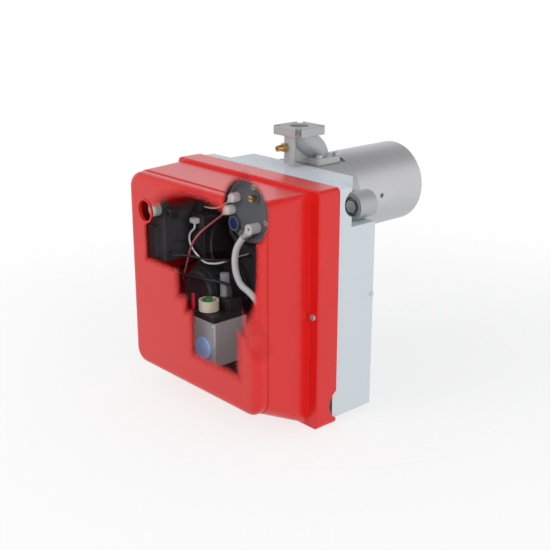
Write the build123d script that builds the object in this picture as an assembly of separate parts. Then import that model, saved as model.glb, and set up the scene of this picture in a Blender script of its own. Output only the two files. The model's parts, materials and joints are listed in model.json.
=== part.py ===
from build123d import *
from math import atan2, cos, hypot, pi, radians, sin, tan
import os

# One-stage forced-draught gas burner: a red cover over the controls, a grey fan casing behind it,
# a blast tube that reaches into the boiler, and a cast gas elbow on top of the tube's collar.
#
# Frame: the sizes below are laid out from the plane of the casing's rear face, on the blast tube's
# axis. The pieces are saved with the origin moved along that axis to the tube's root.
# +Y points along the tube towards the boiler, +X to the burner's right as seen from the front, +Z up.
# Sizes are in millimetres.

# ---- driving sizes -------------------------------------------------------------------------
FIT = 0.3                     # seating gap between separate pieces
RUN = 0.08                    # running clearance of a shaft in its bore

CASE_HALF = 154.5             # fan casing, half its width
CASE_TOP = 55.0
CASE_BOTTOM = -286.0
CASE_FRONT = -79.0            # plane of the casing's open front edge
CASE_WALL = 2.0

BULK_T = 4.0                  # bulkhead plate that closes the casing and carries the controls
BULK_FACE = CASE_FRONT - BULK_T

COVER_WALL = 3.0
COVER_FRONT = -209.0          # front face of the cover
COVER_LEFT = -155.0
COVER_RIGHT = 138.0
COVER_TOP = 51.0
COVER_CHIN = -253.0           # lowest line of the front face
BAND_DEPTH = 21.0             # plain front band before the step
BAND_STEP = 1.5
RIM_FRONT = -113.0
RIM_BACK = -75.0
RIM_LAP = 0.5                 # gap between the rim and the casing it laps over
FRONT_ROUND = 16.0            # rounding between the front face and the sides

TUBE_R = 64.0
TUBE_WALL = 2.0
TUBE_START = 64.0
TUBE_END = 210.0
DUCT_R = 52.0                 # cast head duct inside the casing
DUCT_BORE = 47.0
SPIGOT_WALL = 5.7             # spigot that the tube slips over
SPIGOT_BORE = TUBE_R - TUBE_WALL - FIT - SPIGOT_WALL
SPIGOT_END = 128.0
COLLAR_FLANGE_R = TUBE_R + 10.0
COLLAR_FLANGE_T = 8.0
PAD_TOP = 55.2                # flat on the collar under the gas elbow
PAD_HALF = 31.0
PAD_Y = (8.0, 56.0)
TUBE_SCREW_Y = 113.0
COLLAR_R = TUBE_R + 2.0

GASKET_T = 0.8
GAS_BORE = 13.0
GAS_ENTRY_R = 14.5            # counterbore in the inlet flange
GAS_ENTRY_DEPTH = 10.0
NECK_R = 19.0
FLANGE_SIDE = 60.0
FLANGE_T = 12.0
FLANGE_TOP = 114.0
FLANGE_Y = -4.0
ELBOW_BASE_T = 10.0
ELBOW_BASE_Y = (PAD_Y[0] + PAD_Y[1]) / 2
BASE_SCREWS = [(sx * 24.5, ELBOW_BASE_Y + sy * 17.5) for sx in (-1, 1) for sy in (-1, 1)]
POST_Y = -22.0                # test-point post at the front of the elbow
NIPPLE_Z = 99.0 - 2.0

PLATE_R = 48.0                # cast plate that closes the head duct in front
PLATE_T = 22.0
PLATE_FACE = BULK_FACE - PLATE_T
GLASS_AT = (-28.0, -23.0)
GLASS_R = 8.0
IGNITION_AT = (-23.0, 18.0)
PROBE_AT = (-35.0, -3.0)
ROD_AT = (18.0, 24.0)
SPOUT_AT = (22.0, -20.0)
SPOUT_R = 8.0
SPOUT_DIR = 219.0             # direction of the spout's outlet, from +X towards +Z
PLATE_SCREW_R = PLATE_R - 8.0
PLATE_SCREWS = [(PLATE_SCREW_R * cos(radians(a)), PLATE_SCREW_R * sin(radians(a))) for a in (72, 245, 345)]

FAN_AT = (-62.0, -128.0)
WHEEL_R = 60.0
WHEEL_EYE = 47.0
WHEEL_Y = (-70.0, -30.0)
BLADES = 32
SCROLL_Y = (-77.0, -22.0)
SCROLL_R = 69.0               # smallest radius of the spiral
SCROLL_GROW = 6.0             # growth of the spiral at each quarter turn
SCROLL_WALL = 2.0
SHAFT_R = 4.0

MOTOR_R = 38.0
MOTOR_Y = (-156.0, BULK_FACE)

CONTROL_X = (-136.0, -97.0)
CONTROL_Y = (-185.0, -108.0)
CONTROL_Z = (-84.0, -7.0)
RESET_AT = (-112.0, -3.0)
RESET_R = 11.0
RESET_TRAVEL = 3.0
PEEP_R = 16.0                 # round hole in the cover in front of the reset button

COIL_X = (-92.0, -60.0)       # ignition transformer
COIL_Y = (-140.0, BULK_FACE)
COIL_Z = (-76.0, -12.0)

COIL_OUTLET = (-76.0, -125.0, -4.0)

SERVO_X = (-33.0, 18.0)
SERVO_Y = (-185.0, -125.0)
SERVO_Z = (-220.0, -151.0)
DAMPER_AT = (8.0, -212.0)
DAMPER_HALF = 24.0
DAMPER_Y = (-76.0, -6.0)
DIAL_AT = (-15.0, -169.0)     # vertical axis of the servo's cam dial
DIAL_Z = (-141.0, -125.0)
DIAL_R = 15.0
LEVER_AT = (-35.0, -182.5)

SWITCH_AT = (55.0, -179.0)    # air pressure switch
SWITCH_R = 24.0
SWITCH_Y = (-140.0, BULK_FACE)
SPIGOT_AT = (41.0, -118.0)    # the switch's hose spigot, vertical
SPIGOT_TOP = -154.0
CAP_AT = (-13.0, -140.0)       # motor capacitor, vertical
CAP_R = 7.0
CAP_Z = (SERVO_Z[1] + 26.0, -90.0)

SCREW_AT = (148.0, -121.0)    # cover screw on the shoulder
EAR_AT = (131.5, 19.0)        # side ears of the collar, in the casing's corner steps
EAR_R = 20.0
EAR_Y = (-18.0, 8.0)
POCKET_X = 109.0              # steps at the casing's upper rear corners
POCKET_FRONT = -48.0
POCKET_FLOOR = -2.0
BITE_R = 19.0                 # round bite in the step's front wall
BITE_DEPTH = 14.0
BITE_Z = 31.0
INTAKE_X = (-13.0, 29.0)      # air intake in the casing's floor
INTAKE_Y = (-66.0, -14.0)
SOCKET_Z = -262.0
HOSE_R = 5.0

os.makedirs("parts", exist_ok=True)


# ---- small helpers -------------------------------------------------------------------------
def block(x, y, z):
    """Box between two planes on each axis."""
    size = (x[1] - x[0], y[1] - y[0], z[1] - z[0])
    return Pos((x[0] + x[1]) / 2, (y[0] + y[1]) / 2, (z[0] + z[1]) / 2) * Box(*size)


def along_y(r, at, y):
    """Cylinder along Y at (x, z) between two y planes."""
    middle = Pos(at[0], (y[0] + y[1]) / 2, at[1])
    return middle * Rot(90, 0, 0) * Cylinder(r, y[1] - y[0])


def along_x(r, at, x):
    """Cylinder along X at (y, z) between two x planes."""
    middle = Pos((x[0] + x[1]) / 2, at[0], at[1])
    return middle * Rot(0, 90, 0) * Cylinder(r, x[1] - x[0])


def along_z(r, at, z):
    """Cylinder along Z at (x, y) between two z planes."""
    return Pos(at[0], at[1], (z[0] + z[1]) / 2) * Cylinder(r, z[1] - z[0])


def hexagon_y(across, at, y):
    """Hexagonal prism along Y."""
    profile = Plane((at[0], y[0], at[1]), x_dir=(1, 0, 0), z_dir=(0, 1, 0)) * RegularPolygon(
        across / 2, 6, major_radius=False)
    return extrude(profile, y[1] - y[0])


def corner_outline(x, z, radii):
    """Closed outline in the XZ plane; radii run from bottom left, bottom right, top right, top left."""
    corners = [(x[0], z[0]), (x[1], z[0]), (x[1], z[1]), (x[0], z[1])]
    wire = FilletPolyline(*[(a, 0, b) for a, b in corners], radius=radii, close=True)
    return make_face(wire)


def prism(face, y):
    """Face in the XZ plane extruded between two y planes."""
    return Pos(0, y[0], 0) * extrude(face, y[1] - y[0], dir=(0, 1, 0))


def grouped(*pieces):
    """Several separate solids kept in one node."""
    return Compound([solid for piece in pieces for solid in piece.solids()])


def save(name, shape):
    """Write one node, moved so that the origin is at the tube's root."""
    solids = [Pos(0, -TUBE_START, 0) * solid for solid in shape.solids()]
    node = solids[0] if len(solids) == 1 else Compound(solids)
    export_step(node, os.path.join("parts", name + ".step"))


def screw_y(at, head_y, r, head_r, head_t, length):
    """Pan-head screw along Y whose head lies in front of head_y and whose shank runs to +Y."""
    head = along_y(head_r, at, (head_y - head_t, head_y))
    head = fillet(head.edges().sort_by(Axis.Y)[0], head_t * 0.5)
    slot = Pos(at[0], head_y - head_t, at[1]) * Box(head_r * 1.3, head_t * 0.8, head_r * 0.24)
    cross = Pos(at[0], head_y - head_t, at[1]) * Box(head_r * 0.24, head_t * 0.8, head_r * 1.3)
    return head + along_y(r, at, (head_y, head_y + length)) - slot - cross


# ---- fan casing and bulkhead ---------------------------------------------------------------
def rear_pockets(grow):
    """Step at each upper rear corner of the casing, with a round bite into its front wall."""
    x = (POCKET_X - grow, CASE_HALF + 1)
    step = block(x, (POCKET_FRONT - grow, 1), (POCKET_FLOOR - grow, CASE_TOP + 1))
    bite = along_x(BITE_R + grow, (POCKET_FRONT + BITE_R - BITE_DEPTH, BITE_Z), x)
    both = step + bite
    return both + mirror(both, about=Plane.YZ)


def rear_casing():
    outside = block((-CASE_HALF, CASE_HALF), (CASE_FRONT, 0), (CASE_BOTTOM, CASE_TOP))
    outside = fillet(outside.edges().filter_by(Axis.Y), 4.0)
    inner = CASE_HALF - CASE_WALL
    inside = block((-inner, inner), (CASE_FRONT - 1, -CASE_WALL),
                   (CASE_BOTTOM + CASE_WALL, CASE_TOP - CASE_WALL))
    inside = fillet(inside.edges().filter_by(Axis.Y), 2.5) - rear_pockets(CASE_WALL)
    shell = outside - rear_pockets(0) - inside
    shell -= along_y(DUCT_R + FIT, (0, 0), (CASE_FRONT - 1, 1))
    shell -= block(INTAKE_X, INTAKE_Y, (CASE_BOTTOM - 1, CASE_BOTTOM + CASE_WALL + 1))
    ledge = block((-118.0, 28.0), (-62.0, -54.0), (CASE_TOP, CASE_TOP + 2.5))
    return shell + fillet(ledge.edges().group_by(Axis.Z)[-1], 1.2)


def bulkhead():
    edge = CASE_HALF
    plate = block((-edge, edge), (BULK_FACE, CASE_FRONT), (CASE_BOTTOM, CASE_TOP))
    plate = fillet(plate.edges().filter_by(Axis.Y), 4.0)
    plate = plate - along_y(PLATE_R - 6, (0, 0), (BULK_FACE - 1, CASE_FRONT + 1))
    for at in (IGNITION_AT, PROBE_AT):
        plate = plate - along_y(5.0 + FIT, at, (BULK_FACE - 1, CASE_FRONT + 1))
    plate = plate - along_y(14.0, FAN_AT, (BULK_FACE - 1, CASE_FRONT + 1))
    plate = plate - along_y(SHAFT_R + RUN, DAMPER_AT, (BULK_FACE - 1, CASE_FRONT + 1))
    plate = plate - along_y(2.1, SCREW_AT, (BULK_FACE - 1, CASE_FRONT + 1))
    band = along_y(60.0, (0, 0), (BULK_FACE - 22.0, BULK_FACE)) - along_y(
        54.0, (0, 0), (BULK_FACE - 23.0, BULK_FACE + 1))
    keep = block((-44.0, 2.0), (BULK_FACE - 22.0, BULK_FACE), (-62.0, -34.0))
    return plate + (band & keep)


# ---- cover ----------------------------------------------------------------------------------
def cover_solid(inset):
    """The cover's outside (inset 0) or the space inside it (inset of one wall)."""
    left, right, top = COVER_LEFT + inset, COVER_RIGHT - inset, COVER_TOP - inset
    chin = COVER_CHIN + inset
    front_radii = [24.0 - inset, 24.0 - inset, 12.0 - inset, 24.0 - inset]
    step = BAND_STEP
    face = corner_outline((left, right), (chin, top), front_radii)
    band = prism(face, (COVER_FRONT + inset, COVER_FRONT + BAND_DEPTH + 2 * inset))
    band = fillet(band.faces().sort_by(Axis.Y)[0].edges(), min(FRONT_ROUND, 12.0) - inset)
    start = Pos(0, COVER_FRONT + BAND_DEPTH + inset, 0) * corner_outline(
        (left - step, right + step), (chin - step, top + step), [r + step for r in front_radii])
    heel = CASE_BOTTOM - 5.0 + inset
    end = Pos(0, RIM_FRONT + 3.0, 0) * corner_outline(
        (left - step, right + step), (heel, top + step + 1.0), [r * 0.6 for r in front_radii])
    skirt = loft([start, end])
    return band + skirt


def rim_solid(grow, y):
    """Rim outline, grown from the casing's outside."""
    return prism(corner_outline((-CASE_HALF - grow, CASE_HALF + grow),
                                (CASE_BOTTOM - grow - 3.0, CASE_TOP + grow), [4.0 + grow] * 4), y)


def cover():
    wall = COVER_WALL
    rim = rim_solid(RIM_LAP + wall, (RIM_FRONT, RIM_BACK))
    rim = fillet(rim.faces().sort_by(Axis.Y)[0].edges(), 2.4)
    shape = cover_solid(0) + rim
    shape = shape - cover_solid(wall)
    shape = shape - rim_solid(RIM_LAP, (RIM_FRONT + wall, RIM_BACK + 1))
    throat = block((COVER_LEFT + wall, COVER_RIGHT - wall), (RIM_FRONT - 2, RIM_FRONT + wall + 1),
                   (CASE_BOTTOM + 4, COVER_TOP - wall))
    shape = shape - throat
    peep = along_y(PEEP_R, RESET_AT, (COVER_FRONT - 1, COVER_FRONT + 12))
    screw_hole = along_y(2.6, SCREW_AT, (RIM_FRONT - 1, RIM_FRONT + wall + 1))
    notch = along_x(24.0, (RIM_BACK + 11.0, SOCKET_Z), (CASE_HALF - 3, CASE_HALF + 9))
    return shape - peep - screw_hole - notch


def cover_screw():
    return screw_y(SCREW_AT, RIM_FRONT, 2.0, 5.0, 3.0, CASE_FRONT - RIM_FRONT)


# ---- head duct, tube and combustion head ----------------------------------------------------
def head_duct():
    body = along_y(DUCT_R, (0, 0), (CASE_FRONT, 1))
    body += along_y(COLLAR_R, (0, 0), (0, TUBE_START))
    body += along_y(COLLAR_FLANGE_R, (0, 0), (0, COLLAR_FLANGE_T))
    body += along_y(TUBE_R - TUBE_WALL - FIT, (0, 0), (TUBE_START, SPIGOT_END))
    body -= block((-90, 90), (-1, TUBE_START), (PAD_TOP, COLLAR_FLANGE_R + 12))
    body += block((-PAD_HALF, PAD_HALF), PAD_Y, (40.0, PAD_TOP))
    arm = block((0.0, EAR_AT[0]), (0, COLLAR_FLANGE_T), (EAR_AT[1] - 15, EAR_AT[1] + 15))
    arm += along_y(EAR_R, EAR_AT, (EAR_Y[0] - 8, EAR_Y[1]))
    arm -= along_y(EAR_R - 6, EAR_AT, (EAR_Y[0] - 9, EAR_Y[0]))
    arm -= along_y(5.0 + FIT, EAR_AT, (EAR_Y[0] - 1, EAR_Y[1] + 1))
    rib = Plane.XY.offset(EAR_AT[1] - 3) * make_face(Polyline(
        (COLLAR_R - 6, EAR_Y[1]), (EAR_AT[0] - 16, EAR_Y[1]), (COLLAR_R - 6, 36.0), close=True))
    arm += extrude(rib, 6.0)
    body += arm + mirror(arm, about=Plane.YZ)
    body -= along_y(DUCT_BORE, (0, 0), (CASE_FRONT - 1, TUBE_START + 8))
    body -= along_y(SPIGOT_BORE, (0, 0), (TUBE_START + 6, SPIGOT_END + 1))
    body -= along_z(GAS_BORE + FIT, (0, ELBOW_BASE_Y), (30.0, PAD_TOP + 1))
    body -= block((-26.0, 23.0), SCROLL_Y, (-DUCT_R - 1, -30.0))
    for x, y in BASE_SCREWS:
        body -= along_z(2.6, (x, y), (36.0, PAD_TOP + 1))
    for angle in (0, 120, 240):
        hole = along_x(2.2, (TUBE_SCREW_Y, 0), (SPIGOT_BORE - 4, TUBE_R))
        body -= Rot(0, angle, 0) * hole
    return body


def blast_tube():
    tube = along_y(TUBE_R, (0, 0), (TUBE_START, TUBE_END))
    tube = fillet(tube.edges().sort_by(Axis.Y)[-1], 4.0)
    tube -= along_y(TUBE_R - TUBE_WALL, (0, 0), (TUBE_START - 1, TUBE_END - 4))
    tube -= along_y(TUBE_R - 6.0, (0, 0), (TUBE_END - 5, TUBE_END + 1))
    for angle in (0, 120, 240):
        tube -= Rot(0, angle, 0) * along_x(3.9, (TUBE_SCREW_Y, 0), (TUBE_R - 6, TUBE_R + 2))
    return tube


def tube_screws():
    """Three flush screws that hold the tube on the spigot."""
    face = TUBE_R - TUBE_WALL - FIT
    one = along_x(2.0, (TUBE_SCREW_Y, 0), (TUBE_R - 8, face))
    head = along_x(3.6, (TUBE_SCREW_Y, 0), (face + 0.1, TUBE_R - 0.1))
    one = one + head + along_x(2.0, (TUBE_SCREW_Y, 0), (face - 1, face + 1))
    one -= along_x(1.5, (TUBE_SCREW_Y, 0), (TUBE_R - 1.4, TUBE_R + 3))
    return grouped(*[Rot(0, angle, 0) * one for angle in (0, 120, 240)])


HEAD_Y = 178.0                # plane of the flame stabiliser
STUB_TOP = PAD_TOP
PIPE_R = 14.0


def gas_pipe():
    """Vertical inlet stub joined to the central gas pipe."""
    pipe = along_z(GAS_BORE, (0, ELBOW_BASE_Y), (0, STUB_TOP))
    pipe += along_y(PIPE_R, (0, 0), (ELBOW_BASE_Y - 18, HEAD_Y))
    pipe -= along_z(GAS_BORE - 3, (0, ELBOW_BASE_Y), (0, STUB_TOP + 1))
    return pipe - along_y(PIPE_R - 3, (0, 0), (ELBOW_BASE_Y - 14, HEAD_Y + 1))


def gas_head():
    """Distributor nozzle with radial gas ports, screwed on the pipe's end."""
    nozzle = along_y(24.0, (0, 0), (HEAD_Y, HEAD_Y + 20))
    nozzle = chamfer(nozzle.edges().sort_by(Axis.Y)[-1], 6.0)
    nozzle -= along_y(PIPE_R - 3, (0, 0), (HEAD_Y - 1, HEAD_Y + 14))
    for k in range(8):
        nozzle -= Rot(0, 22.5 + 45 * k, 0) * along_x(2.5, (HEAD_Y + 10, 0), (5, 30))
    return nozzle


def flame_disc():
    """Flame stabiliser: a disc with twelve swirl slots between the nozzle and the tube."""
    disc = along_y(46.0, (0, 0), (HEAD_Y + 3, HEAD_Y + 5)) - along_y(
        24.0 + FIT, (0, 0), (HEAD_Y + 2, HEAD_Y + 6))
    slot = Pos(36.0, HEAD_Y + 4, 0) * Rot(0, 24, 0) * Box(14.0, 4.0, 3.2)
    for k in range(12):
        disc -= Rot(0, 30 * k, 0) * slot
    rod_holes = [along_y(3.3, at, (HEAD_Y + 2, HEAD_Y + 6)) for at in (IGNITION_AT, PROBE_AT)]
    arm = block((-4, 4), (HEAD_Y - 8, HEAD_Y - FIT), (-32.0, -PIPE_R + 2))
    arm += block((-4, 4), (HEAD_Y - 2, HEAD_Y + 3), (-32.0, -24.0 - 2 * FIT))
    for k in range(3):
        disc += Rot(0, 60 + 120 * k, 0) * (arm - along_y(PIPE_R, (0, 0), (HEAD_Y - 9, HEAD_Y)))
    return disc - rod_holes[0] - rod_holes[1]


def electrode(at, tip):
    """Ceramic-sleeved electrode from the front plate to the flame."""
    sleeve = along_y(3.0, at, (BULK_FACE - 1, HEAD_Y - 6))
    wire = along_y(1.3, at, (HEAD_Y - 6, HEAD_Y + tip))
    shape = sleeve + along_y(5.0, at, (PLATE_FACE, BULK_FACE - 1)) + wire
    collar = Pos(at[0], HEAD_Y + tip, at[1]) * Sphere(1.6)
    return shape + collar


def degrees_of(at):
    """Direction of a point in the XZ plane, in degrees from +X towards +Z."""
    return atan2(at[1], at[0]) * 180 / pi


def electrode_clamp():
    """Pressed strap that holds both electrodes on the gas pipe."""
    y = (ELBOW_BASE_Y + 46, ELBOW_BASE_Y + 54)
    ring = along_y(PIPE_R + FIT + 3, (0, 0), y)
    arm = ring
    for at in (IGNITION_AT, PROBE_AT):
        length = hypot(*at)
        beam = Pos(at[0] / 2, sum(y) / 2, at[1] / 2) * Rot(
            0, -degrees_of(at), 0) * Box(length, y[1] - y[0], 4)
        arm += beam + along_y(5.5, at, y)
    arm -= along_y(PIPE_R + FIT, (0, 0), (y[0] - 1, y[1] + 1))
    for at in (IGNITION_AT, PROBE_AT):
        arm -= along_y(3.0 + FIT, at, (y[0] - 1, y[1] + 1))
    return arm


def air_sleeve():
    """Sliding sleeve that sets the air gap at the head."""
    y = (86.0, 122.0)
    ring = along_y(SPIGOT_BORE - FIT, (0, 0), y)
    ring -= along_y(SPIGOT_BORE - 4, (0, 0), (y[0] - 1, y[1] + 1))
    lug = block((hypot(*ROD_AT) - 4, SPIGOT_BORE - 2.5), (y[0], y[0] + 5), (-4, 4))
    lug = Rot(0, -degrees_of(ROD_AT), 0) * lug
    return ring + lug


def setting_rod():
    """Setting rod of the air sleeve with its slotted brass end on the front plate."""
    rod = along_y(2.5, ROD_AT, (PLATE_FACE - 3, 86.0))
    knob = along_y(5.0, ROD_AT, (PLATE_FACE - 11, PLATE_FACE - 3))
    knob -= Pos(ROD_AT[0], PLATE_FACE - 11, ROD_AT[1]) * Box(12, 4, 1.4)
    return rod + knob


# ---- front plate of the head ----------------------------------------------------------------
def head_plate():
    plate = along_y(PLATE_R, (0, 0), (PLATE_FACE, BULK_FACE))
    plate = fillet(plate.edges().sort_by(Axis.Y)[0], 2.0)
    ridge = along_y(PLATE_R - 5, (0, 0), (PLATE_FACE - 1.5, PLATE_FACE + 1))
    ridge -= along_y(PLATE_R - 8, (0, 0), (PLATE_FACE - 3, PLATE_FACE + 2))
    ridge -= along_y(SPOUT_R + FIT, SPOUT_AT, (PLATE_FACE - 3, PLATE_FACE))
    plate += ridge
    plate += along_y(GLASS_R + 3.5, GLASS_AT, (PLATE_FACE - 5, PLATE_FACE + 1))
    plate += along_y(9.0, ROD_AT, (PLATE_FACE - 2, PLATE_FACE + 1))
    plate -= along_y(GLASS_R, GLASS_AT, (PLATE_FACE - 3, BULK_FACE + 1))
    plate -= along_y(GLASS_R + 0.8, GLASS_AT, (PLATE_FACE - 6, PLATE_FACE - 2))
    plate -= along_y(2.5 + RUN, ROD_AT, (PLATE_FACE - 6, BULK_FACE + 1))
    plate -= along_y(3.3, SPOUT_AT, (PLATE_FACE - 6, BULK_FACE + 1))
    for at in (IGNITION_AT, PROBE_AT):
        plate -= along_y(5.0 + FIT, at, (PLATE_FACE - 6, BULK_FACE + 1))
        plate -= along_y(CAP_RADIUS + 0.8, at, (PLATE_FACE - 6, PLATE_FACE))
    for at in PLATE_SCREWS:
        plate -= along_y(2.3, at, (PLATE_FACE - 6, BULK_FACE + 1))
        plate -= along_y(5.2, at, (PLATE_FACE - 6, PLATE_FACE + 4))
    return plate


def plate_screws():
    return grouped(*[along_y(4.6, at, (PLATE_FACE, PLATE_FACE + 4))
                     + along_y(2.0, at, (PLATE_FACE + 4, BULK_FACE))
                     - hexagon_y(4.0, at, (PLATE_FACE - 1, PLATE_FACE + 2.5)) for at in PLATE_SCREWS])


def sight_glass():
    return along_y(GLASS_R + 0.5, GLASS_AT, (PLATE_FACE - 4.8, PLATE_FACE - 2))


CAP_RADIUS = 7.5
BOOT_DIR = (cos(radians(215)), sin(radians(215)))
BOOT_LENGTH = 13.0


def boot_end(at):
    """Point where a lead leaves the boot of an electrode cap."""
    return (at[0] + BOOT_DIR[0] * BOOT_LENGTH, PLATE_FACE - 8, at[1] + BOOT_DIR[1] * BOOT_LENGTH)


def electrode_cap(at):
    """Ceramic push-on connector over an electrode's front end."""
    cap = along_y(CAP_RADIUS, at, (PLATE_FACE - 15, PLATE_FACE - FIT))
    cap = fillet(cap.edges().sort_by(Axis.Y)[0], 4.0)
    boot = Pos(at[0], PLATE_FACE - 8, at[1]) * Rot(0, -215, 0) * Pos(BOOT_LENGTH - 5, 0, 0) * Rot(
        0, 90, 0) * Cone(4.5, 3.2, 10)
    return cap + boot


SPOUT_REACH = 14.0


def hose_spout():
    """Moulded right-angle spout on the plate that the air hose pushes onto."""
    spout = along_y(3.0, SPOUT_AT, (PLATE_FACE - 16, BULK_FACE))
    spout += along_y(SPOUT_R, SPOUT_AT, (PLATE_FACE - 18, PLATE_FACE))
    outlet = Pos(SPOUT_REACH / 2, 0, 0) * Rot(0, 90, 0) * Cylinder(6.5, SPOUT_REACH)
    spout += Pos(SPOUT_AT[0], PLATE_FACE - 10, SPOUT_AT[1]) * Rot(0, -SPOUT_DIR, 0) * outlet
    return spout - along_y(2.2, SPOUT_AT, (PLATE_FACE - 19, PLATE_FACE - 12))


# ---- gas elbow ------------------------------------------------------------------------------
BASE_BOTTOM = PAD_TOP + GASKET_T
BASE_TOP = BASE_BOTTOM + ELBOW_BASE_T


def neck(r):
    """Swept passage of the elbow: down, slanting to the rear, and down again."""
    points = [(0, FLANGE_Y, FLANGE_TOP), (0, FLANGE_Y, FLANGE_TOP - FLANGE_T - 5),
              (0, ELBOW_BASE_Y, BASE_TOP + 7), (0, ELBOW_BASE_Y, BASE_BOTTOM)]
    path = FilletPolyline(*points, radius=24.0)
    section = Plane(origin=points[0], z_dir=(0, 0, -1)) * Circle(r)
    return sweep(section, path=path)


def gas_elbow():
    side = FLANGE_SIDE / 2
    flange = block((-side, side), (FLANGE_Y - side, FLANGE_Y + side),
                   (FLANGE_TOP - FLANGE_T, FLANGE_TOP))
    flange = fillet(flange.edges().filter_by(Axis.Z), 7.0)
    for k in range(4):
        slot = Pos(0, FLANGE_Y, FLANGE_TOP - FLANGE_T / 2) * Rot(0, 0, 45 + 90 * k) * (
            Pos(30.0, 0, 0) * Cylinder(4.5, FLANGE_T + 2) + Pos(40.0, 0, 0) * Box(20, 9, FLANGE_T + 2))
        flange -= slot
    base = block((-PAD_HALF, PAD_HALF), PAD_Y, (BASE_BOTTOM, BASE_TOP))
    base = fillet(base.edges().filter_by(Axis.Z), 6.0)
    post = along_z(9.0, (0, POST_Y), (BASE_BOTTOM + 4, FLANGE_TOP - FLANGE_T))
    web = block((-4, 4), (POST_Y, ELBOW_BASE_Y - 6), (BASE_BOTTOM + 6, FLANGE_TOP - FLANGE_T - 4))
    body = flange + base + post + web + neck(NECK_R)
    body -= neck(GAS_BORE)
    body -= along_z(GAS_ENTRY_R, (0, FLANGE_Y), (FLANGE_TOP - GAS_ENTRY_DEPTH, FLANGE_TOP + 1))
    body -= along_y(3.6, (0, NIPPLE_Z - 12), (POST_Y - 10, POST_Y + 1))
    for x, y in BASE_SCREWS:
        body -= along_z(3.2, (x, y), (BASE_BOTTOM - 1, BASE_TOP + 1))
    return body


def elbow_gasket():
    sheet = fillet(block((-PAD_HALF, PAD_HALF), PAD_Y, (PAD_TOP, BASE_BOTTOM))
                   .edges().filter_by(Axis.Z), 6.0)
    sheet -= along_z(GAS_BORE, (0, ELBOW_BASE_Y), (PAD_TOP - 1, BASE_BOTTOM + 1))
    for x, y in BASE_SCREWS:
        sheet -= along_z(3.2, (x, y), (PAD_TOP - 1, BASE_BOTTOM + 1))
    return sheet


def elbow_screws():
    def one(x, y):
        head = along_z(5.0, (x, y), (BASE_TOP, BASE_TOP + 5))
        socket = Pos(x, y, BASE_TOP + 2.5) * extrude(RegularPolygon(2.2, 6, major_radius=False), 3)
        return head + along_z(2.5, (x, y), (PAD_TOP - 10, BASE_TOP)) - socket
    return grouped(*[one(x, y) for x, y in BASE_SCREWS])


def test_nipple():
    """Brass pressure test nipple in the elbow's front post."""
    z = NIPPLE_Z - 12
    face = POST_Y - 9.0
    nipple = along_y(3.5, (0, z), (face - 2, face + 8))
    nipple += hexagon_y(12.0, (0, z), (face - 6, face - 0.4))
    nipple += along_y(4.5, (0, z), (face - 17, face - 6))
    return nipple - along_y(1.8, (0, z), (face - 18, face - 6))


# ---- ear bolt -------------------------------------------------------------------------------
def both_sides(piece):
    return grouped(piece, mirror(piece, about=Plane.YZ))


def ear_bolts():
    bolt = hexagon_y(17.0, EAR_AT, (EAR_Y[0] - 9.0, EAR_Y[0] - 2.0))
    return both_sides(bolt + along_y(5.0, EAR_AT, (EAR_Y[0] - 2.0, EAR_Y[1] + 14)))


def ear_washers():
    ring = along_y(11.0, EAR_AT, (EAR_Y[0] - 2, EAR_Y[0]))
    return both_sides(ring - along_y(5.0 + FIT, EAR_AT, (EAR_Y[0] - 3, EAR_Y[0] + 1)))


def casing_screws():
    """Four round-head screws on the rear edge of the casing."""
    spots = [(148.0, -109.0), (148.0, -270.0), (-148.0, -109.0), (-148.0, -270.0)]
    heads = []
    for at in spots:
        head = fillet(along_y(5.0, at, (0, 3.4)).edges().sort_by(Axis.Y)[-1], 2.4)
        heads.append(head)
    return grouped(*heads)


# ---- fan --------------------------------------------------------------------------------------
def spiral_face(extra):
    """Scroll outline built from quarter arcs whose radius grows at each quarter turn."""
    cx, cz = FAN_AT
    half = SCROLL_GROW / 2
    centres = [(cx - half, cz + half), (cx - half, cz - half), (cx + half, cz - half)]
    radii = [SCROLL_R + SCROLL_GROW * k + extra for k in (0, 1, 2)]
    lip = (cx + 22.0, cz + SCROLL_R - half)
    top = (centres[0][0], centres[0][1] + radii[0])
    left = (centres[0][0] - radii[0], centres[0][1])
    low = (centres[1][0], centres[1][1] - radii[1])
    right = (centres[2][0] + radii[2], centres[2][1])
    mid = [(centres[k][0] + radii[k] * cos(radians(a)), centres[k][1] + radii[k] * sin(radians(a)))
           for k, a in ((0, 135), (1, 225), (2, 315))]
    left_b = (centres[1][0] - radii[1], centres[1][1])
    low_b = (centres[2][0], centres[2][1] - radii[2])
    mouth = -40.0

    def at(p):
        return (p[0], 0, p[1])
    wire = Wire([
        Line(at((lip[0] - extra, mouth)), at((lip[0] - extra, top[1]))).edge(),
        Line(at((lip[0] - extra, top[1])), at(top)).edge(),
        ThreePointArc(at(top), at(mid[0]), at(left)).edge(),
        Line(at(left), at(left_b)).edge(),
        ThreePointArc(at(left_b), at(mid[1]), at(low)).edge(),
        Line(at(low), at(low_b)).edge(),
        ThreePointArc(at(low_b), at(mid[2]), at(right)).edge(),
        Line(at(right), at((right[0], mouth))).edge(),
        Line(at((right[0], mouth)), at((lip[0] - extra, mouth))).edge(),
    ])
    return make_face(wire)


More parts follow.
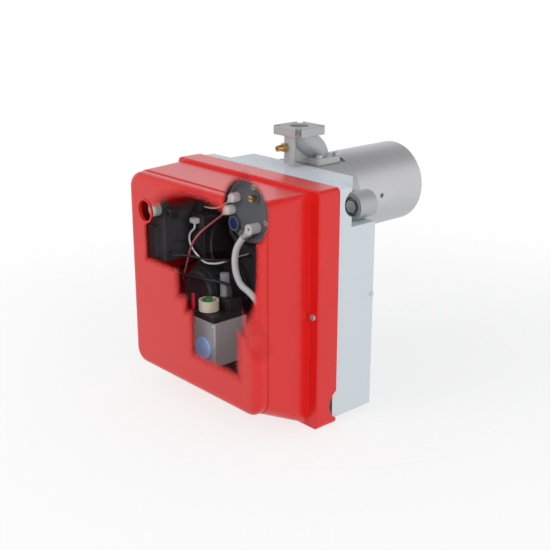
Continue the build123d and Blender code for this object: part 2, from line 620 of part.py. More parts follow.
def fan_scroll():
    outer = prism(spiral_face(SCROLL_WALL), SCROLL_Y)
    inner = prism(spiral_face(0), (SCROLL_Y[0] + SCROLL_WALL, SCROLL_Y[1] - SCROLL_WALL))
    body = outer - inner
    body -= along_y(WHEEL_EYE, FAN_AT, (SCROLL_Y[1] - 4, SCROLL_Y[1] + 1))
    body -= along_y(14.0, FAN_AT, (SCROLL_Y[0] - 1, SCROLL_Y[0] + 4))
    body -= along_y(DUCT_R + FIT, (0, 0), (SCROLL_Y[0] - 1, SCROLL_Y[1] + 1))
    feet = [along_y(6.0, (FAN_AT[0] + 60 * cos(radians(a)), FAN_AT[1] + 60 * sin(radians(a))),
                    (CASE_FRONT, SCROLL_Y[0])) for a in (150, 210, 270, 330)]
    for foot in feet:
        body += foot
    return body


def fan_wheel():
    """Squirrel-cage wheel: back disc with hub, forward-curved blades and a front ring."""
    y0, y1 = WHEEL_Y
    wheel = along_y(WHEEL_R, FAN_AT, (y0, y0 + 2)) + along_y(12.0, FAN_AT, (y0, y0 + 16))
    wheel += along_y(WHEEL_R, FAN_AT, (y1 - 2, y1)) - along_y(
        WHEEL_R - 9, FAN_AT, (y1 - 3, y1 + 1))
    bend = 9.0
    ring = Pos(WHEEL_R - 6.5, 0, 1.0)
    arc = make_face(Circle(bend).edges()) - make_face(Circle(bend - 1.3).edges())
    arc = arc & (Pos(0, -bend / 2) * Rectangle(2 * bend, bend))
    blade = extrude(arc, y1 - y0 - 2)
    flat = Plane((FAN_AT[0], y0 + 1.0, FAN_AT[1]), x_dir=(1, 0, 0), z_dir=(0, 1, 0))
    keep = along_y(WHEEL_R - 0.4, FAN_AT, WHEEL_Y) - along_y(WHEEL_EYE, FAN_AT, (y0 - 1, y1 + 1))
    blades = [flat * Rot(0, 0, 360 / BLADES * k) * Pos(WHEEL_R - 6.5, bend * 0.7, 0) * blade
              for k in range(BLADES)]
    trimmed = [b & keep for b in blades]
    for b in trimmed:
        wheel += b
    return wheel - along_y(SHAFT_R, FAN_AT, (y0 - 1, y0 + 17))


def motor_shaft():
    return along_y(SHAFT_R, FAN_AT, (MOTOR_Y[0] + 8, WHEEL_Y[0] + 20))


def fan_motor():
    body = along_y(MOTOR_R, FAN_AT, (MOTOR_Y[0] + 10, MOTOR_Y[1] - 8))
    for k in range(16):
        body -= Pos(FAN_AT[0], 0, FAN_AT[1]) * Rot(0, 22.5 * k, 0) * block(
            (MOTOR_R - 2.5, MOTOR_R + 1), (MOTOR_Y[0] + 18, MOTOR_Y[1] - 16), (-1.5, 1.5))
    body += along_y(MOTOR_R + 2, FAN_AT, (MOTOR_Y[1] - 8, MOTOR_Y[1]))
    dome = along_y(MOTOR_R - 4, FAN_AT, (MOTOR_Y[0], MOTOR_Y[0] + 10))
    body += fillet(dome.edges().sort_by(Axis.Y)[0], 7.0)
    body -= along_y(SHAFT_R + RUN, FAN_AT, (MOTOR_Y[0] + 6, MOTOR_Y[1] + 1))
    return body


def capacitor():
    can = along_z(CAP_R, CAP_AT, CAP_Z)
    return fillet(can.edges().sort_by(Axis.Z)[-1], 2.0)


# ---- controls ---------------------------------------------------------------------------------
def control_box():
    x, y, z = CONTROL_X, CONTROL_Y, CONTROL_Z
    body = block(x, y, z)
    body = fillet(body.edges().filter_by(Axis.Y), 3.0)
    body += block((x[0] + 4, x[1] - 14), (y[0] - 6, y[0] + 2), (z[0] + 6, z[1] - 24))
    tower = along_y(RESET_R + 3, RESET_AT, (y[0] - 2, y[0] + 12))
    body += tower & block(x, (y[0] - 4, y[0] + 12), (z[0], RESET_AT[1] + 20))
    body -= block((x[1] - 3, x[1] + 1), (y[0] + 16, y[1] - 16), (z[0] + 26, z[0] + 30))
    body -= along_y(RESET_R + RUN, RESET_AT, (y[0] - 4, y[0] + 10))
    return body


def signal_socket():
    """Square plug socket beside the reset button."""
    socket = block((CONTROL_X[1], -84.0), (-183.0, -168.0), (-16.0, 0.0))
    return socket - block((-94.0, -88.0), (-184.0, -176.0), (-11.0, -5.0))


def control_base():
    x, z = CONTROL_X, CONTROL_Z
    base = block((x[0] - 3, x[1] + 3), (CONTROL_Y[1], BULK_FACE), (z[0] + 4, z[1] - 4))
    for k in range(5):
        zz = z[0] + 14 + 12 * k
        base -= block((x[1] - 1, x[1] + 4), (CONTROL_Y[1] + 6, BULK_FACE - 6), (zz, zz + 5))
    return base


def reset_button():
    y = CONTROL_Y[0]
    button = along_y(RESET_R, RESET_AT, (y - 12, y + 6))
    return fillet(button.edges().sort_by(Axis.Y)[0], 2.0)


def ignition_coil():
    body = block(COIL_X, COIL_Y, COIL_Z)
    body = fillet(body.edges().filter_by(Axis.Y), 5.0)
    body += block((COIL_X[0] + 6, COIL_X[1] - 6), (COIL_Y[0] - 2, COIL_Y[0] + 1), (-68.0, -38.0))
    nose = block((COIL_X[0] + 2, COIL_X[0] + 14), (-133.0, -117.0), (COIL_Z[1] - 1, COIL_Z[1] + 14))
    nose += along_x(4.5, COIL_OUTLET[1:], (COIL_X[0] + 13, COIL_OUTLET[0]))
    return body + nose


def lead_connector():
    """In-line plug clipped on the coil's front face."""
    plug = block((-82.0, -71.0), (COIL_Y[0] - 10, COIL_Y[0]), (-26.0, -18.0))
    return chamfer(plug.edges().filter_by(Axis.X), 1.2)


def servo_body():
    body = block(SERVO_X, (SERVO_Y[0] + 6, SERVO_Y[1]), SERVO_Z)
    body = fillet(body.edges().filter_by(Axis.Y), 3.0)
    stay = block((DAMPER_AT[0] - 6, DAMPER_AT[0] + 6), (SERVO_Y[1] - 1, BULK_FACE),
                 (-196.0, -188.0))
    body += stay + block((-22.0, -10.0), (SERVO_Y[1] - 1, BULK_FACE), (-196.0, -188.0))
    body -= along_y(SHAFT_R + RUN, DAMPER_AT, (SERVO_Y[1] - 12, SERVO_Y[1] + 1))
    return body - along_z(5.0 + RUN, DIAL_AT, (SERVO_Z[1] - 8, SERVO_Z[1] + 1))


def servo_lid():
    """Cast front lid of the servo, with a round seat for the cap."""
    lid = block(SERVO_X, (SERVO_Y[0], SERVO_Y[0] + 6 - 0.0), SERVO_Z)
    lid = fillet(lid.edges().filter_by(Axis.Y), 3.0)
    lid = chamfer(lid.faces().sort_by(Axis.Y)[0].edges(), 1.5)
    return lid - along_y(18.0 + FIT, (SERVO_X[0] + 24, SERVO_Z[0] + 24), (SERVO_Y[0] - 1, SERVO_Y[0] + 2))


def servo_cap():
    cap = along_y(18.0, (SERVO_X[0] + 24, SERVO_Z[0] + 24), (SERVO_Y[0] - 3, SERVO_Y[0] + 2))
    return fillet(cap.edges().sort_by(Axis.Y)[0], 2.0)


def servo_deck():
    """Black terminal deck on top of the servo, around the cam dial's hub."""
    top = SERVO_Z[1]
    deck = block((SERVO_X[0] - 5, SERVO_X[1] - 2), (SERVO_Y[0], SERVO_Y[0] + 26), (top, top + 9))
    deck += block((-22.0, SERVO_X[1] - 2), (SERVO_Y[0] + 25, SERVO_Y[1] - 3), (top, top + 9))
    deck += block((-22.0, SERVO_X[1] - 6), (SERVO_Y[1] - 26, SERVO_Y[1] - 3), (top + 8, top + 26))
    return deck - along_z(5.0 + RUN, DIAL_AT, (SERVO_Z[1] - 1, SERVO_Z[1] + 30)) - along_z(
        DIAL_R + 2.0, DIAL_AT, (SERVO_Z[1] + 9, SERVO_Z[1] + 40))


def cam_dial():
    """Open-topped cream cup with index notches, on a hub that drops into the servo."""
    dial = along_z(DIAL_R, DIAL_AT, DIAL_Z)
    dial = dial - along_z(DIAL_R - 3.5, DIAL_AT, (DIAL_Z[0] + 5, DIAL_Z[1] + 1))
    for k in range(6):
        dial -= Pos(DIAL_AT[0], DIAL_AT[1], DIAL_Z[1]) * Rot(0, 0, 30 + 30 * k) * Pos(
            DIAL_R, 0, 0) * Box(8, 2.2, 5)
    return dial + along_z(5.0, DIAL_AT, (SERVO_Z[1] - 6, DIAL_Z[0] + 1))


def cam_pointer():
    """Green and red cam fingers inside the dial."""
    hub = along_z(5.5, DIAL_AT, (DIAL_Z[0] + 5, DIAL_Z[1] + 3))
    arm = Pos(DIAL_AT[0] + 5, DIAL_AT[1], DIAL_Z[1] - 2) * Box(9, 3, 4)
    return hub + arm


def release_lever():
    x, y = LEVER_AT
    lever = block((x - 2.0, x + 2.0), (y - 1.7, y + 1.7), (SERVO_Z[1] + 9, SERVO_Z[1] + 34))
    return fillet(lever.edges().group_by(Axis.Z)[-1], 1.2)


def damper_duct():
    """Folded sheet walls that lead the intake air past the blade."""
    x0, x1 = DAMPER_AT[0] - DAMPER_HALF - 1.0, DAMPER_AT[0] + DAMPER_HALF + 1.0
    bottom = CASE_BOTTOM + CASE_WALL
    left = block((x0 - 2, x0), (CASE_FRONT, -CASE_WALL), (bottom, -206.0))
    right = block((x1, x1 + 2), (CASE_FRONT, -CASE_WALL), (bottom, -190.0))
    floor_l = block((x0 - 14, x0 - 2), (CASE_FRONT, -CASE_WALL), (bottom, bottom + 2))
    floor_r = block((x1 + 2, x1 + 14), (CASE_FRONT, -CASE_WALL), (bottom, bottom + 2))
    return grouped(left + floor_l, right + floor_r)


def damper_blade():
    x, z = DAMPER_AT
    blade = block((x - DAMPER_HALF, x + DAMPER_HALF), DAMPER_Y, (z - 0.8, z + 0.8))
    hub = along_y(SHAFT_R + 2.5, DAMPER_AT, (DAMPER_Y[0], DAMPER_Y[0] + 12))
    return blade + hub - along_y(SHAFT_R, DAMPER_AT, (DAMPER_Y[0] - 1, DAMPER_Y[1] + 1))


def damper_shaft():
    return along_y(SHAFT_R, DAMPER_AT, (SERVO_Y[1] - 11, DAMPER_Y[1]))


# ---- air pressure switch and hose ----------------------------------------------------------------
def switch_body():
    """Round membrane housing on a foot, with a square dial plate in front."""
    front = SWITCH_Y[0]
    body = along_y(SWITCH_R, SWITCH_AT, (front + 12, front + 34))
    body += along_y(SWITCH_R - 4, SWITCH_AT, (front + 34, front + 40))
    body += block((SWITCH_AT[0] - 12, SWITCH_AT[0] + 12), (front + 39, SWITCH_Y[1]),
                  (SWITCH_AT[1] - 10, SWITCH_AT[1] + 10))
    body += block((SWITCH_AT[0] - 16, SWITCH_AT[0] + 16), (front + 4, front + 13),
                  (SWITCH_AT[1] - 16, SWITCH_AT[1] + 16))
    body += along_y(SWITCH_R + 2, SWITCH_AT, (front + 20, front + 24))
    body += along_z(3.2, SPIGOT_AT, (SWITCH_AT[1] + 12, SPIGOT_TOP))
    return body - along_y(6.0 + RUN, SWITCH_AT, (front - 1, front + 10))


def switch_dial():
    y = SWITCH_Y[0]
    dial = along_y(10.0, SWITCH_AT, (y - 4, y + 4 - FIT))
    dial = fillet(dial.edges().sort_by(Axis.Y)[0], 1.0)
    dial += along_y(6.0, SWITCH_AT, (y + 3, y + 9))
    return dial - Pos(SWITCH_AT[0], y - 4, SWITCH_AT[1]) * Box(14, 3, 2)


def terminal_socket():
    """Multi-pin mains socket on the bulkhead, low on the right."""
    x, z = 98.0, -214.0
    body = block((x - 22, x + 22), (BULK_FACE - 34, BULK_FACE), (z - 16, z + 16))
    body = fillet(body.edges().filter_by(Axis.Y), 5.0)
    for k in range(7):
        body -= block((x - 17.5 + 5 * k, x - 15.5 + 5 * k), (BULK_FACE - 35, BULK_FACE - 24),
                      (z - 5, z + 5))
    return body


def cable_inlet():
    """Black inlet block behind the notch in the cover's rim."""
    z = SOCKET_Z
    body = block((126.0, CASE_HALF - 1.5), (BULK_FACE - 14, BULK_FACE), (z - 20, z + 20))
    body -= along_x(6.0 + FIT, (BULK_FACE - 7, z + 2), (140.0, CASE_HALF + 1))
    return body - along_x(4.2, (BULK_FACE - 7, z - 13), (140.0, CASE_HALF + 1))


def inlet_plug():
    plug = along_x(6.0, (BULK_FACE - 7, SOCKET_Z + 2), (140.0, CASE_HALF - 0.5))
    return plug - along_x(2.6, (BULK_FACE - 7, SOCKET_Z + 2), (148.0, CASE_HALF))


# ---- hose and leads -------------------------------------------------------------------------------
def corner_radii(points):
    """Largest tangent-arc radius at each corner: 0.45 of the shorter run over tan(half the turn)."""
    radii = []
    for a, b, c in zip(points, points[1:], points[2:]):
        before, after = Vector(*b) - Vector(*a), Vector(*c) - Vector(*b)
        turn = before.get_angle(after)
        radii.append(0.45 * min(before.length, after.length) / tan(radians(turn / 2)))
    return radii


def routed(name, points, r):
    """Round tube along straight runs joined by tangent arcs."""
    radii = corner_radii(points)
    path = FilletPolyline(*points, radius=radii)
    section = Plane(origin=points[0], z_dir=Vector(*points[1]) - Vector(*points[0])) * Circle(r)
    tube = sweep(section, path=path)
    expected = pi * r * r * path.length
    print(name, "length", round(path.length, 1), "radii", [round(v, 1) for v in radii],
          "volume share", round(tube.volume / expected, 4))
    return tube


def lead_from(at, step):
    """First two route points of a lead that leaves a cap's boot along the boot's own direction."""
    x, y, z = boot_end(at)
    return [(x, y, z), (x + BOOT_DIR[0] * step, y, z + BOOT_DIR[1] * step)]


def outlet_point(reach):
    """Point on the spout outlet's axis."""
    a = radians(SPOUT_DIR)
    return (SPOUT_AT[0] + reach * cos(a), PLATE_FACE - 10, SPOUT_AT[1] + reach * sin(a))


HOSE_POINTS = [
    outlet_point(SPOUT_REACH), outlet_point(SPOUT_REACH + 14), (-8.0, -121.0, -54.0),
    (-8.0, -125.0, -72.0), (-3.0, -127.0, -90.0), (6.0, -126.0, -107.0),
    (26.0, -121.5, -117.0), (41.0, -118.0, -132.0), (41.0, -118.0, SPIGOT_TOP)]
PROBE_LEAD_POINTS = lead_from(PROBE_AT, 11.0) + [
    (-56.5, -127.0, -24.0), (-57.0, -146.0, -33.0), (-67.0, -153.0, -47.0), (-78.0, -153.0, -64.0),
    (-86.0, -153.0, -84.0), (-94.0, -152.0, -102.0), (-105.0, -148.0, -120.0),
    (-115.0, -130.0, -134.0), (-118.0, -108.0, -138.0), (-118.0, BULK_FACE, -138.0)]
WHITE_LEAD_POINTS = [
    (-76.5, -145.0, -26.0), (-76.5, -145.0, -34.0), (-86.0, -147.0, -42.0), (-89.0, -147.0, -54.0),
    (-81.0, -147.0, -67.0), (-66.0, -147.0, -75.5), (-48.0, -148.0, -82.0), (-34.0, -134.0, -82.0),
    (-28.0, -117.0, -78.0), (-26.0, -98.0, -76.0), (-26.0, BULK_FACE, -76.0)]
IGNITION_LEAD_POINTS = lead_from(IGNITION_AT, 10.0) + [
    (-53.0, -119.0, -3.0), (-65.0, -125.0, -4.0), COIL_OUTLET]
CONTROL_LEAD_POINTS = [
    (-4.0, SERVO_Y[1] - 3, SERVO_Z[1] + 16), (-4.0, -114.0, SERVO_Z[1] + 16),
    (2.0, -98.0, -128.0), (2.0, BULK_FACE, -128.0)]
SERVO_CABLE_POINTS = [
    (-124.0, -96.0, CONTROL_Z[0] + 4), (-124.0, -96.0, -98.0), (-124.0, -122.0, -107.0),
    (-115.0, -150.0, -107.0), (-97.0, -166.0, -104.0), (-74.0, -170.0, -101.0), (-48.0, -170.0, -98.0),
    (-24.0, -166.0, -97.0), (-6.0, -153.0, -99.0), (2.0, -140.0, -106.0),
    (2.0, -140.0, SERVO_Z[1] + 26)]


def main():
    save("rear_casing", rear_casing())
    save("bulkhead", bulkhead())
    save("cover", cover())
    save("cover_screw", cover_screw())
    save("head_duct", head_duct())
    save("blast_tube", blast_tube())
    save("tube_screws", tube_screws())
    save("gas_pipe", gas_pipe())
    save("gas_head", gas_head())
    save("flame_disc", flame_disc())
    save("ignition_electrode", electrode(IGNITION_AT, 10.0))
    save("flame_probe", electrode(PROBE_AT, 22.0))
    save("electrode_clamp", electrode_clamp())
    save("air_sleeve", air_sleeve())
    save("setting_rod", setting_rod())
    save("head_plate", head_plate())
    save("plate_screws", plate_screws())
    save("sight_glass", sight_glass())
    save("ignition_cap", electrode_cap(IGNITION_AT))
    save("probe_cap", electrode_cap(PROBE_AT))
    save("hose_spout", hose_spout())
    save("gas_elbow", gas_elbow())
    save("elbow_gasket", elbow_gasket())
    save("elbow_screws", elbow_screws())
    save("test_nipple", test_nipple())
    save("ear_bolts", ear_bolts())
    save("ear_washers", ear_washers())
    save("casing_screws", casing_screws())
    save("fan_scroll", fan_scroll())
    save("fan_wheel", fan_wheel())
    save("motor_shaft", motor_shaft())
    save("fan_motor", fan_motor())
    save("capacitor", capacitor())
    save("control_box", control_box())
    save("control_base", control_base())
    save("signal_socket", signal_socket())
    save("reset_button", reset_button())
    save("ignition_coil", ignition_coil())
    save("lead_connector", lead_connector())
    save("servo_body", servo_body())
    save("servo_lid", servo_lid())
    save("servo_cap", servo_cap())
    save("servo_deck", servo_deck())
    save("cam_dial", cam_dial())
    save("cam_pointer", cam_pointer())
    save("release_lever", release_lever())
    save("damper_duct", damper_duct())
    save("damper_blade", damper_blade())
    save("damper_shaft", damper_shaft())
    save("switch_body", switch_body())
    save("switch_dial", switch_dial())
    save("terminal_socket", terminal_socket())
    save("cable_inlet", cable_inlet())
    save("inlet_plug", inlet_plug())
    save("air_hose", routed("air_hose", HOSE_POINTS, HOSE_R))
    save("probe_lead", routed("probe_lead", PROBE_LEAD_POINTS, 1.5))
    save("ignition_lead", routed("ignition_lead", IGNITION_LEAD_POINTS, 1.5))
    save("control_lead", routed("control_lead", CONTROL_LEAD_POINTS, 2.5))
    save("white_lead", routed("white_lead", WHITE_LEAD_POINTS, 1.5))
    save("servo_cable", routed("servo_cable", SERVO_CABLE_POINTS, 2.2))


main()
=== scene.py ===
import itertools
import json
import math

import bmesh
import bpy
from mathutils import Matrix, Vector


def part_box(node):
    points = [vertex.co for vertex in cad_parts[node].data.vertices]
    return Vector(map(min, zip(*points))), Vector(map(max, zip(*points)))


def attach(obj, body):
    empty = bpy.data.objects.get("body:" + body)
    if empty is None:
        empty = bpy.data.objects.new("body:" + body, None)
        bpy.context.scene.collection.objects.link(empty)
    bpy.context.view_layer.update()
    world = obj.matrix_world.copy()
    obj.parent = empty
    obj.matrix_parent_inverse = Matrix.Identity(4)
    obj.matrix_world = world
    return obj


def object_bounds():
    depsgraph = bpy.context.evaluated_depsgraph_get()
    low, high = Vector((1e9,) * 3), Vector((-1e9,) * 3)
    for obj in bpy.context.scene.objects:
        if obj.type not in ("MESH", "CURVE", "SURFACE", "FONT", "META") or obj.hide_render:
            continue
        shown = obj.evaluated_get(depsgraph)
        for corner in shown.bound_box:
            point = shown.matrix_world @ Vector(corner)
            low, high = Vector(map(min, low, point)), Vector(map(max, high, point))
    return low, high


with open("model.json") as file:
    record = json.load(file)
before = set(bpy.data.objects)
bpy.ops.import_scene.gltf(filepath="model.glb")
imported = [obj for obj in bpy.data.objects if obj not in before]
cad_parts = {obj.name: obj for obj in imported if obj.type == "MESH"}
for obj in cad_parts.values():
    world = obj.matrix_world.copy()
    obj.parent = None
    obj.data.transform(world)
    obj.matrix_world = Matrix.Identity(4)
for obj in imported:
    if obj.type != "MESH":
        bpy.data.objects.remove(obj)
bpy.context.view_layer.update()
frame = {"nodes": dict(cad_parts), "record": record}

nodes = frame["nodes"]
record = frame["record"]
scene = bpy.context.scene


# ---------------------------------------------------------------- node groups
# Shared shader groups: edges gives a wear mask and a rounded normal, grain gives a fine value, a broad
# one and a normal, and reveal gives the soft-edged see-through area of the cover as two masks.
def group(name, inputs, outputs):
    tree = bpy.data.node_groups.new(name, "ShaderNodeTree")
    for label, kind, default in inputs:
        socket = tree.interface.new_socket(label, in_out="INPUT", socket_type=kind)
        if default is not None:
            socket.default_value = default
    for label, kind in outputs:
        tree.interface.new_socket(label, in_out="OUTPUT", socket_type=kind)
    return tree, tree.nodes.new("NodeGroupInput"), tree.nodes.new("NodeGroupOutput")


def math_node(tree, operation, a, b=None, c=None, clamp=False):
    node = tree.nodes.new("ShaderNodeMath")
    node.operation = operation
    node.use_clamp = clamp
    for slot, value in zip(node.inputs, (a, b, c)):
        if value is None:
            continue
        if isinstance(value, (int, float)):
            slot.default_value = value
        else:
            tree.links.new(value, slot)
    return node.outputs[0]


def ramp(tree, value, low, high):
    node = tree.nodes.new("ShaderNodeMapRange")
    node.interpolation_type = "SMOOTHSTEP"
    tree.links.new(value, node.inputs["Value"])
    node.inputs["From Min"].default_value = low
    node.inputs["From Max"].default_value = high
    return node.outputs["Result"]


FLOAT, VECTOR = "NodeSocketFloat", "NodeSocketVector"

edges, gin, gout = group("edges", [("Radius", FLOAT, 0.0008)], [("Mask", FLOAT), ("Normal", VECTOR)])
bevel = edges.nodes.new("ShaderNodeBevel")
bevel.samples = 6
edges.links.new(gin.outputs["Radius"], bevel.inputs["Radius"])
geometry = edges.nodes.new("ShaderNodeNewGeometry")
dot = edges.nodes.new("ShaderNodeVectorMath")
dot.operation = "DOT_PRODUCT"
edges.links.new(bevel.outputs["Normal"], dot.inputs[0])
edges.links.new(geometry.outputs["Normal"], dot.inputs[1])
turned = math_node(edges, "SUBTRACT", 1.0, dot.outputs["Value"])
edges.links.new(ramp(edges, turned, 0.03, 0.25), gout.inputs["Mask"])
edges.links.new(bevel.outputs["Normal"], gout.inputs["Normal"])

grain, gin, gout = group(
    "grain",
    [("Scale", FLOAT, 400.0), ("Stretch", VECTOR, (1, 1, 1)), ("Bump", FLOAT, 0.1),
     ("Normal", VECTOR, None)],
    [("Value", FLOAT), ("Broad", FLOAT), ("Normal", VECTOR)])
coords = grain.nodes.new("ShaderNodeTexCoord")
stretch = grain.nodes.new("ShaderNodeVectorMath")
stretch.operation = "MULTIPLY"
grain.links.new(coords.outputs["Object"], stretch.inputs[0])
grain.links.new(gin.outputs["Stretch"], stretch.inputs[1])
fine = grain.nodes.new("ShaderNodeTexNoise")
fine.inputs["Detail"].default_value = 3.0
grain.links.new(stretch.outputs[0], fine.inputs["Vector"])
grain.links.new(gin.outputs["Scale"], fine.inputs["Scale"])
broad = grain.nodes.new("ShaderNodeTexNoise")
broad.inputs["Scale"].default_value = 14.0
broad.inputs["Detail"].default_value = 2.0
grain.links.new(coords.outputs["Object"], broad.inputs["Vector"])
bump = grain.nodes.new("ShaderNodeBump")
bump.inputs["Distance"].default_value = 0.0004
grain.links.new(gin.outputs["Bump"], bump.inputs["Strength"])
grain.links.new(fine.outputs[0], bump.inputs["Height"])
grain.links.new(gin.outputs["Normal"], bump.inputs["Normal"])
grain.links.new(fine.outputs[0], gout.inputs["Value"])
grain.links.new(broad.outputs[0], gout.inputs["Broad"])
grain.links.new(bump.outputs["Normal"], gout.inputs["Normal"])

# The reveal: points of the cover are carried along straight lines from one fixed eye point, which is
# also where the camera stands, onto the plane of the cover's front. Soft boxes and ovals in that plane,
# each laid over the piece that shows through it, make the open area and the faint ghosts.
EYE = Vector((1.0643, -1.0641, 0.365))
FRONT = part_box("cover")[0][1]
LEFT_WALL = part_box("cover")[0][0] + 0.006
FLOOR_WALL = -0.246   # just above the lowest line of the cover's front


def over(name, depth=1.0):
    """Range x0, x1, z0, z1 that a piece hides on the front plane, to a depth behind its own front."""
    low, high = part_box(name)
    spots = []
    ends = (low[0], high[0]), (low[1], min(high[1], low[1] + depth)), (low[2], high[2])
    for x, y, z in itertools.product(*ends):
        reach = (FRONT - EYE.y) / (y - EYE.y)
        spots.append((EYE.x + reach * (x - EYE.x), EYE.z + reach * (z - EYE.z)))
    across, up = zip(*spots)
    return min(across), max(across), min(up), max(up)


reveal, gin, gout = group("reveal", [("Ragged", FLOAT, 0.006)], [("Open", FLOAT), ("Ghost", FLOAT)])
coords = reveal.nodes.new("ShaderNodeTexCoord")
place = reveal.nodes.new("ShaderNodeSeparateXYZ")
reveal.links.new(coords.outputs["Object"], place.inputs[0])
noise = reveal.nodes.new("ShaderNodeTexNoise")
noise.inputs["Scale"].default_value = 42.0
noise.inputs["Detail"].default_value = 4.0
reveal.links.new(coords.outputs["Object"], noise.inputs["Vector"])
centred = math_node(reveal, "SUBTRACT", noise.outputs[0], 0.5)
wobble = math_node(reveal, "MULTIPLY", centred, gin.outputs["Ragged"])
reach = math_node(reveal, "DIVIDE", FRONT - EYE.y, math_node(reveal, "SUBTRACT", place.outputs["Y"], EYE.y))


def carried(axis, start):
    offset = math_node(reveal, "SUBTRACT", place.outputs[axis], start)
    return math_node(reveal, "ADD", math_node(reveal, "MULTIPLY_ADD", offset, reach, start), wobble)


across, up = carried("X", EYE.x), carried("Z", EYE.z)


def soft_box(x0, x1, z0, z1, soft):
    dx = math_node(reveal, "SUBTRACT", math_node(reveal, "ABSOLUTE", math_node(
        reveal, "SUBTRACT", across, (x0 + x1) / 2)), (x1 - x0) / 2)
    dz = math_node(reveal, "SUBTRACT", math_node(reveal, "ABSOLUTE", math_node(
        reveal, "SUBTRACT", up, (z0 + z1) / 2)), (z1 - z0) / 2)
    outside = math_node(reveal, "MAXIMUM", dx, dz)
    return math_node(reveal, "SUBTRACT", 1.0, ramp(reveal, outside, -soft, soft))


def soft_oval(x0, x1, z0, z1, soft):
    ex = math_node(reveal, "DIVIDE", math_node(reveal, "SUBTRACT", across, (x0 + x1) / 2), (x1 - x0) / 2)
    ez = math_node(reveal, "DIVIDE", math_node(reveal, "SUBTRACT", up, (z0 + z1) / 2), (z1 - z0) / 2)
    square = math_node(reveal, "MULTIPLY_ADD", ex, ex, math_node(reveal, "MULTIPLY", ez, ez))
    far = math_node(reveal, "SQRT", square)
    return math_node(reveal, "SUBTRACT", 1.0, ramp(reveal, far, 1.0 - soft, 1.0 + soft))


def union(parts):
    total = parts[0]
    for part in parts[1:]:
        total = math_node(reveal, "MAXIMUM", total, part)
    return total


control, coil, plate = over("control_box", 0.0), over("ignition_coil"), over("head_plate", 0.0)
servo, motor, switch = over("servo_body", 0.03), over("fan_motor", 0.0), over("switch_body", 0.0)
hose = over("air_hose", 0.0)
RIGHT_SIDE = coil[1] + 0.016
GHOST_SHARE = 0.25
# Each window: left, right, bottom and top on the front plane, and how soft its edge is.
opening = union([
    soft_box(control[0] - 0.004, coil[0], control[2] - 0.004, control[3] - 0.008, 0.007),
    soft_oval(control[1] - 0.030, RIGHT_SIDE + 0.020, control[2] - 0.008, coil[3] - 0.006, 0.16),
    soft_box(motor[0] - 0.010, RIGHT_SIDE + 0.008, motor[2] + 0.018, motor[3] + 0.020, 0.012),
    soft_box(servo[0] - 0.026, RIGHT_SIDE + 0.004, servo[3] - 0.020, motor[2] + 0.044, 0.010),
    soft_box(servo[0] - 0.012, RIGHT_SIDE - 0.008, servo[2], servo[3] + 0.016, 0.010),
    soft_oval(plate[0] - 0.004, plate[1] + 0.004, plate[2] - 0.004, plate[3] + 0.002, 0.12),
    soft_oval(hose[0] + 0.010, hose[0] + 0.060, servo[3], plate[3], 0.20),
])
ghosts = union([
    soft_oval(switch[0] - 0.004, switch[1] + 0.004, switch[2] - 0.004, switch[3] + 0.004, 0.30),
    soft_box(hose[0] + 0.014, hose[0] + 0.046, switch[3], plate[2], 0.012),
])
inside_walls = math_node(reveal, "MULTIPLY", ramp(reveal, place.outputs["X"], LEFT_WALL, LEFT_WALL + 0.002),
                         ramp(reveal, place.outputs["Z"], FLOOR_WALL, FLOOR_WALL + 0.002))
reveal.links.new(math_node(reveal, "MULTIPLY", opening, inside_walls), gout.inputs["Open"])
reveal.links.new(math_node(reveal, "MULTIPLY", ghosts, GHOST_SHARE), gout.inputs["Ghost"])


# ---------------------------------------------------------------- materials
# One procedural material per material slot of the record: a base colour that varies slowly over the
# piece, a fine grain in its roughness and bump, and paler worn edges where an edge colour is given.
def use_group(tree, source):
    node = tree.nodes.new("ShaderNodeGroup")
    node.node_tree = source
    return node


def mix_colour(tree, factor, a, b):
    node = tree.nodes.new("ShaderNodeMix")
    node.data_type = "RGBA"
    for slot, value in ((0, factor), (6, a), (7, b)):
        if isinstance(value, (int, float)):
            node.inputs[slot].default_value = value
        elif isinstance(value, (tuple, list)):
            node.inputs[slot].default_value = (*value[:3], 1.0)
        else:
            tree.links.new(value, node.inputs[slot])
    return node.outputs[2]


def surface(slot, base, rough, metal=0.0, edge=None, edge_amount=0.5, scale=400.0, stretch=(1, 1, 1),
            bump_strength=0.06, vary=0.12, radius=0.0007, coat=0.0, transmission=0.0, ior=1.5):
    material = bpy.data.materials.new(slot)
    material.use_nodes = True
    tree = material.node_tree
    shader = tree.nodes["Principled BSDF"]
    rim = use_group(tree, edges)
    rim.inputs["Radius"].default_value = radius
    skin = use_group(tree, grain)
    skin.inputs["Scale"].default_value = scale
    skin.inputs["Stretch"].default_value = stretch
    skin.inputs["Bump"].default_value = bump_strength
    tree.links.new(rim.outputs["Normal"], skin.inputs["Normal"])
    tree.links.new(skin.outputs["Normal"], shader.inputs["Normal"])
    dark = tuple(channel * (1 - vary) for channel in base)
    light = tuple(min(1.0, channel * (1 + vary)) for channel in base)
    colour = mix_colour(tree, skin.outputs["Broad"], dark, light)
    if edge:
        worn = math_node(tree, "MULTIPLY", rim.outputs["Mask"], math_node(
            tree, "MULTIPLY", skin.outputs["Value"], 2.0 * edge_amount, clamp=True))
        colour = mix_colour(tree, worn, colour, edge)
    tree.links.new(colour, shader.inputs["Base Color"])
    tree.links.new(math_node(tree, "MULTIPLY_ADD", skin.outputs["Value"], 0.12, rough - 0.06),
                   shader.inputs["Roughness"])
    shader.inputs["Metallic"].default_value = metal
    shader.inputs["IOR"].default_value = ior
    shader.inputs["Coat Weight"].default_value = coat
    shader.inputs["Coat Roughness"].default_value = 0.12
    shader.inputs["Transmission Weight"].default_value = transmission
    return material


